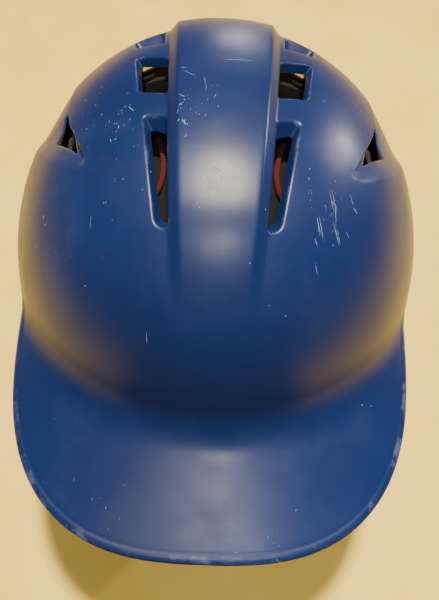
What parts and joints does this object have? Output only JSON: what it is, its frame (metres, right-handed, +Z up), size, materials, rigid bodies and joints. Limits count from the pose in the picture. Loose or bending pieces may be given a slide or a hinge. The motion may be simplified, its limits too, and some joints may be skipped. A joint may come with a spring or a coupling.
{
  "type": "batting helmet",
  "caption": "Rigid batting helmet with a wide front bill, a raised centre rib, crown and temple vents, ear flaps with ear openings, foam liners and removable comfort pads.",
  "frame": {"origin": "middle of the footprint, on the plane of the ear flaps' flat bottoms", "axes": "-Y is the front, where the bill points; +Y is the nape; +X is the wearer's left; +Z is up"},
  "size_m": [0.2144, 0.2952, 0.2201],
  "materials": {
    "shell_blue": "satin royal blue moulded ABS",
    "foam_yellow": "yellow closed-cell foam",
    "foam_charcoal": "charcoal closed-cell foam",
    "pad_fabric": "charcoal knitted fabric over foam",
    "piping_red": "red edging",
    "hook_black": "black hook-and-loop"
  },
  "bodies": {
    "helmet": {"shell": "shell_blue", "front_impact_liner": "foam_charcoal", "crown_impact_liner": "foam_yellow", "rear_impact_liner": "foam_yellow", "left_impact_liner": "foam_charcoal", "right_impact_liner": "foam_charcoal", "left_brow_hook_tab": "hook_black", "left_temple_hook_tab": "hook_black", "left_nape_hook_tab": "hook_black", "left_ear_front_hook_tab": "hook_black", "left_ear_rear_hook_tab": "hook_black", "left_crown_hook_tab": "hook_black", "right_brow_hook_tab": "hook_black", "right_temple_hook_tab": "hook_black", "right_nape_hook_tab": "hook_black", "right_ear_front_hook_tab": "hook_black", "right_ear_rear_hook_tab": "hook_black", "right_crown_hook_tab": "hook_black"},
    "brow_pad": {"brow_pad": "pad_fabric"},
    "nape_pad": {"nape_pad": "pad_fabric"},
    "left_temple_pad": {"left_temple_pad": "pad_fabric"},
    "left_ear_pad": {"left_ear_pad": "pad_fabric"},
    "left_crown_pad": {"left_crown_pad": "pad_fabric", "left_crown_pad_piping": "piping_red"},
    "right_temple_pad": {"right_temple_pad": "pad_fabric"},
    "right_ear_pad": {"right_ear_pad": "pad_fabric"},
    "right_crown_pad": {"right_crown_pad": "pad_fabric", "right_crown_pad_piping": "piping_red"}
  },
  "joints": [
    {"name": "brow_pad_pull", "type": "slide", "parent": "helmet", "child": "brow_pad", "axis": [0, 1, 0], "range_m": [0, 0.024]},
    {"name": "nape_pad_pull", "type": "slide", "parent": "helmet", "child": "nape_pad", "axis": [0, -1, 0], "range_m": [0, 0.03]},
    {"name": "left_temple_pad_pull", "type": "slide", "parent": "helmet", "child": "left_temple_pad", "axis": [-1, 0, 0], "range_m": [0, 0.025]},
    {"name": "left_ear_pad_pull", "type": "slide", "parent": "helmet", "child": "left_ear_pad", "axis": [-1, 0, 0], "range_m": [0, 0.025]},
    {"name": "left_crown_pad_pull", "type": "slide", "parent": "helmet", "child": "left_crown_pad", "axis": [0, 0, -1], "range_m": [0, 0.022]},
    {"name": "right_temple_pad_pull", "type": "slide", "parent": "helmet", "child": "right_temple_pad", "axis": [1, 0, 0], "range_m": [0, 0.025]},
    {"name": "right_ear_pad_pull", "type": "slide", "parent": "helmet", "child": "right_ear_pad", "axis": [1, 0, 0], "range_m": [0, 0.025]},
    {"name": "right_crown_pad_pull", "type": "slide", "parent": "helmet", "child": "right_crown_pad", "axis": [0, 0, -1], "range_m": [0, 0.022]}
  ]
}
